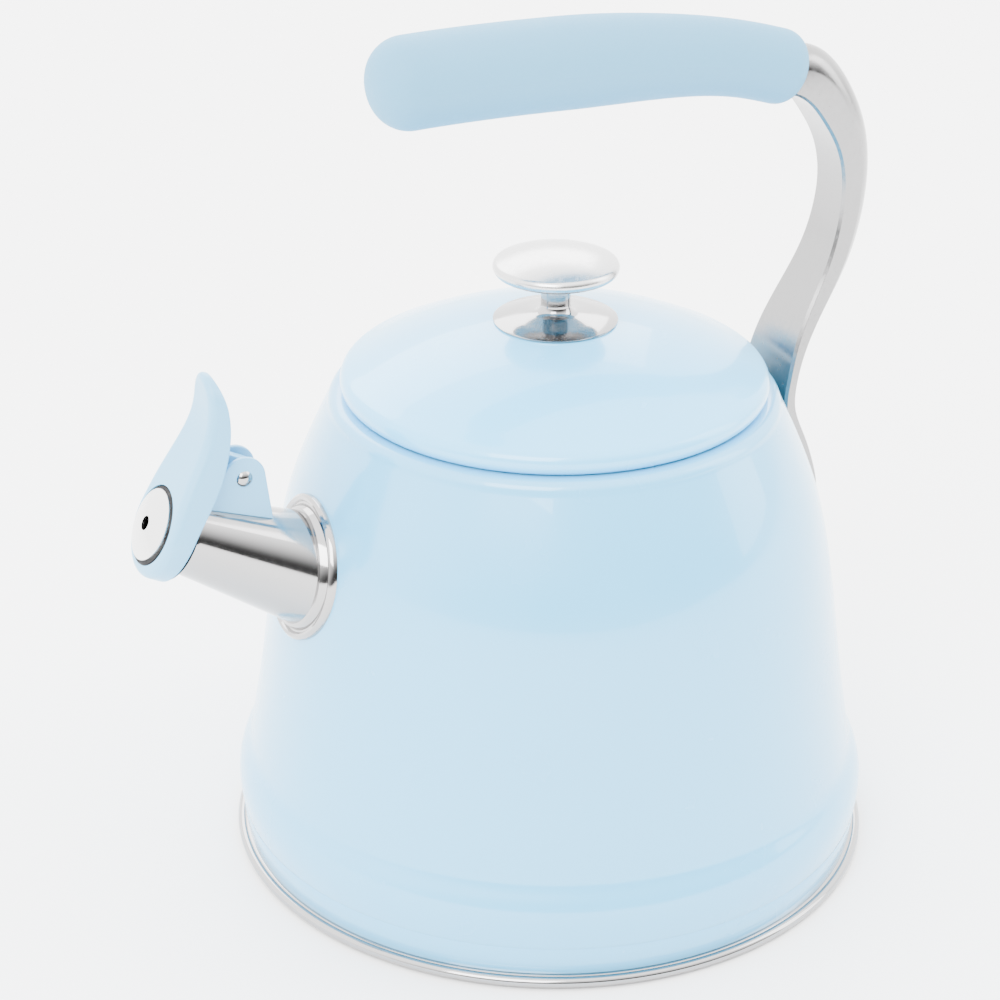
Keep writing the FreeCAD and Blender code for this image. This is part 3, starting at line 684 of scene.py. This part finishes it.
def lever_skin():
    """The lever's rings of points, from the middle of its front round its edge to its back."""
    outline = lever_outline()
    before, after = np.roll(outline, 1, axis=0), np.roll(outline, -1, axis=0)
    along = after - before
    inward = np.stack([-along[:, 1], along[:, 0]], 1) / np.linalg.norm(along, axis=1)[:, None]
    spine = np.stack([np.clip(outline[:, 0], 0, LEVER_TIP_X), np.zeros(len(outline))], 1)
    front, back = spline(LEVER_FRONT, 300), spline(LEVER_BACK, 300)
    quarter = [(1 - math.cos(a), 1 - math.sin(a)) for a in np.linspace(0, math.pi / 2, 10)]
    rings = []

    def ring(flat, surface, sink, sign):
        height = depth_at(surface, flat[:, 0]) - sign * sink
        rings.append([(x, y, z) for (x, y), z in zip(flat, height)])

    shrinks = (1.0, 0.85, 0.65, 0.45, 0.25, 0.1)
    for surface, size, sign, order in ((front, LEVER_ROUND, 1, 1), (back, LEVER_BACK_ROUND, -1, -1)):
        brim = outline + inward * size
        half = [(brim + (spine - brim) * share, surface, 0, sign) for share in shrinks]
        half += [(outline + inward * size * shift, surface, size * sink, sign)
                 for shift, sink in reversed(quarter)]
        for one in half[::order]:
            ring(*one)
    return rings


def whistle_lever():
    """Thumb lever with the pockets of its seal and whistle."""
    mesh = rings_mesh("whistle_lever_moulded", lever_skin(), SPOUT)
    lever = piece("whistle_lever_moulded", mesh, "whistle", "pale_plastic", ["whistle_lever"])
    (low, high), (under, over) = POCKET_ENDS, WEB
    seal_r, ring_r = SEAL_RADII[1] + FIT, WHISTLE_RING_RADII[2] + FIT
    pocket = [(0, low), (seal_r, low), (seal_r, under), (WEB_HOLE_R, under), (WEB_HOLE_R, over),
              (ring_r, over), (ring_r, high), (0, high)]
    cut(lever, lathe("pocket", pocket, SPOUT, 96, closed=False))


def lever_knuckle():
    """Knuckle under the lever that the pin goes through."""
    crown = [(PIN_X + KNUCKLE_R * math.sin(a), PIN_Z + KNUCKLE_R * math.cos(a))
             for a in np.linspace(math.pi / 2, 3 * math.pi / 2, 24)]
    arm = [(PIN_X - KNUCKLE_R, KNUCKLE_TOP), (PIN_X + KNUCKLE_R, KNUCKLE_TOP)]
    mesh = extrude_outline("lever_knuckle", arm + crown, -KNUCKLE_HALF, KNUCKLE_HALF, SPOUT)
    bevel(piece("lever_knuckle", mesh, "whistle", "pale_plastic"), KNUCKLE_BEVEL)


def whistle_face():
    """Pressed disc with a hole, its middle domed outwards."""
    radius, seat, rise = FACE
    radii = np.linspace(FACE_HOLE_R, radius, 24)
    top = [(r, seat + FACE_SHEET + rise * (1 - (r / radius) ** 2)) for r in radii]
    under = [(r, z - FACE_SHEET) for r, z in reversed(top)]
    piece("whistle_face_disc", lathe("whistle_face_disc", top + under, SPOUT, 96), "whistle",
          "plain_steel", ["whistle_face"], materials=[FACE_STEEL])


def whistle_ring():
    """Moulded ring that holds the disc in the lever; the black band it shows round the disc's edge is
    painted shade for the gap between the disc and the lever's pocket.
    """
    hole, step, out = WHISTLE_RING_RADII
    low, high = WEB[1], FACE[1]
    ledge = low + WHISTLE_RING_STEP
    edge = high - WHISTLE_RING_CHAMFER
    outline = [(hole, ledge), (step, ledge), (step, low), (out, low), (out, edge),
               (out - WHISTLE_RING_CHAMFER, high), (hole + WHISTLE_RING_CHAMFER, high), (hole, edge)]
    piece("whistle_ring_gap_shade", lathe("whistle_ring_gap_shade", outline, SPOUT, 96), "whistle",
          "black_plastic", ["whistle_ring"])


def mouth_seal():
    """Soft ring let into the lever, with a lip that lies on the spout's mouth."""
    hole, body, lip = SEAL_RADII
    face, lip_back, back = SEAL_HEIGHTS
    edge = face + SEAL_CHAMFER
    outline = [(hole, edge), (hole + SEAL_CHAMFER, face), (lip - SEAL_CHAMFER, face), (lip, edge),
               (lip, lip_back), (body, lip_back), (body, back), (hole, back)]
    piece("mouth_seal_ring", lathe("mouth_seal_ring", outline, SPOUT, 96), "whistle", "seal_silicone",
          ["mouth_seal"])


# Handle

def grip_radius(x):
    """Radius of the grip at x: its taper, then its rounded ends."""
    start, end = GRIP_TAPER
    share = min(max((x - start) / (end - start), 0), 1)
    share = share * share * (3 - 2 * share)
    radius = GRIP_RADII[0] + (GRIP_RADII[1] - GRIP_RADII[0]) * share
    for distance, length in ((x - GRIP_LINE[0][0], GRIP_ROUND[0]), (GRIP_LINE[-1][0] - x, GRIP_ROUND[1])):
        if distance < length:
            radius -= length * (1 - math.sqrt(max(0, 1 - (1 - distance / length) ** 2)))
    return radius


def grip_sleeve():
    """Soft sleeve with a fine parting ridge along both sides."""
    line = spline(GRIP_LINE, 400)
    last = len(line) - 1
    ends = 0.5 - 0.5 * np.cos(np.linspace(0, math.pi, 120))
    picks = np.unique((ends * last).round().astype(int))
    count = 160
    rings = []
    for i in picks:
        x, z = line[i]
        along = line[min(i + 1, last)] - line[max(i - 1, 0)]
        along /= np.linalg.norm(along)
        radius = grip_radius(x)
        ring = []
        for j in range(count):
            angle = 2 * math.pi * j / count
            ridge = GRIP_RIDGE if j % (count // 2) == 0 and radius > GRIP_RIDGE_END_R else 0
            out = (radius + ridge) * math.sin(angle)
            ring.append((x - along[1] * out, (radius + ridge) * math.cos(angle), z + along[0] * out))
        rings.append(ring)
    piece("silicone_grip", rings_mesh("silicone_grip", rings, capped=True), "root", "grip_silicone",
          ["grip_sleeve"], sharp=50)


def handle_strap():
    """Polished strap: D-shaped section, its foot rounded off and bent to the wall."""
    stations = spline(STRAP, 200)
    end_half = STRAP[-1][4]
    rings = []
    for x, z, direction, thick, half in stations:
        drop = FOOT_BOTTOM + end_half - z
        if drop > 0:
            share = min(drop / end_half, 0.998)
            half = end_half * (1 - share ** FOOT_SQUARENESS) ** (1 / FOOT_SQUARENESS)
        angle = math.radians(direction)
        edge = STRAP_EDGE * thick
        flat = half - STRAP_CHAMFER
        section = [(y, 0.0) for y in np.linspace(flat, -flat, 9)]
        section += [(-half, STRAP_CHAMFER), (-half, edge)]
        section += arc((-half, edge), (0, thick), (half, edge), 25)[1:-1]
        section += [(half, edge), (half, STRAP_CHAMFER)]
        ring = []
        for y, height in section:
            point = [x + height * math.cos(angle), y, z + height * math.sin(angle)]
            wall = wall_radius(point[2]) if point[2] < WALL[-1][1] else 0
            if math.hypot(point[0], y) < wall:
                point[0] = math.sqrt(wall ** 2 - y ** 2)
            ring.append(point)
        rings.append(ring)
    strap = piece("polished_strap", rings_mesh("polished_strap", rings, capped=True), "root",
                  "polished_steel", ["handle_strap"], sharp=28, materials=[STRAP_STEEL])
    bevel(strap, STRAP_BEVEL, 2, 28)


def keep_nodes():
    """CAD nodes that show as they are get their slot's material."""
    slots = {entry["node"]: entry["material_slot"] for entry in frame["record"]["subparts"]}
    for name, node in frame["nodes"].items():
        node.data.materials.clear()
        node.data.materials.append(MATERIALS[slots[name]])


# Stage

def camera():
    """The view at rest, aimed by heading, pitch and roll from a point round the kettle."""
    data = bpy.data.cameras.new("camera")
    data.lens = CAMERA_LENS
    data.sensor_width = 36.0
    data.clip_start = 0.01
    made = bpy.data.objects.new("camera", data)
    bpy.context.scene.collection.objects.link(made)
    azimuth = math.radians(CAMERA_AZIMUTH)
    pitch = math.radians(CAMERA_PITCH)
    heading = azimuth + math.radians(CAMERA_YAW)
    ahead = Vector((-math.sin(heading) * math.cos(pitch), math.cos(heading) * math.cos(pitch),
                    -math.sin(pitch)))
    right = Vector((math.cos(heading), math.sin(heading), 0))
    turn = Matrix((right, right.cross(ahead), -ahead)).transposed().to_4x4()
    place = Vector((CAMERA_REACH * math.sin(azimuth), -CAMERA_REACH * math.cos(azimuth), CAMERA_HEIGHT))
    made.matrix_world = (Matrix.Translation(place) @ turn
                         @ Matrix.Rotation(math.radians(CAMERA_ROLL), 4, "Z"))
    bpy.context.scene.camera = made


def softbox(name, place, size, power, target=(0, 0, 0.12)):
    data = bpy.data.lights.new(name, "AREA")
    data.shape = "RECTANGLE"
    data.size, data.size_y = size
    data.energy = power
    made = bpy.data.objects.new(name, data)
    bpy.context.scene.collection.objects.link(made)
    made.location = place
    made.rotation_euler = (Vector(target) - Vector(place)).to_track_quat("-Z", "Y").to_euler()


def surroundings():
    """White world whose strength fades from behind and above to low in front."""
    world = bpy.data.worlds.new("studio")
    bpy.context.scene.world = world
    world.use_nodes = True
    nodes, links = world.node_tree.nodes, world.node_tree.links
    place = nodes.new("ShaderNodeTexCoord")
    tilt = nodes.new("ShaderNodeVectorMath")
    tilt.operation = "DOT_PRODUCT"
    tilt.inputs[1].default_value = SKY_DIRECTION
    ramp = nodes.new("ShaderNodeMapRange")
    ramp.interpolation_type = "SMOOTHSTEP"
    for socket, pair in (("From", SKY_FADE), ("To", SKY_STRENGTH)):
        ramp.inputs[socket + " Min"].default_value = pair[0]
        ramp.inputs[socket + " Max"].default_value = pair[1]
    links.new(place.outputs["Generated"], tilt.inputs[0])
    links.new(tilt.outputs["Value"], ramp.inputs["Value"])
    links.new(ramp.outputs["Result"], nodes["Background"].inputs["Strength"])
    nodes["Background"].inputs["Color"].default_value = (1, 1, 1, 1)


def pale_floor():
    side = FLOOR_HALF
    mesh = bpy.data.meshes.new("floor")
    corners = [(-side, -side, 0), (side, -side, 0), (side, side, 0), (-side, side, 0)]
    mesh.from_pydata(corners, [], [(0, 1, 2, 3)])
    ground = bpy.data.objects.new("floor", mesh)
    bpy.context.scene.collection.objects.link(ground)
    paper, _ = shader("floor_paper", (0.95, 0.95, 0.952), Roughness=0.9)
    ground.data.materials.append(paper)


keep_nodes()
base_pan()
body_shell()
lid_shell()
knob_cap()
knob_stem()
spout_tube()
spout_collar()
bracket_ears()
bracket_saddle()
hinge_pin()
whistle_lever()
lever_knuckle()
whistle_face()
whistle_ring()
mouth_seal()
grip_sleeve()
handle_strap()
camera()
surroundings()
pale_floor()
softbox("key", (-1.1, -1.2, 1.5), (1.2, 1.2), 70)
softbox("fill", (1.6, -0.6, 0.9), (0.8, 1.6), 25)
softbox("back", (0.4, 1.7, 1.4), (2.0, 1.0), 40)
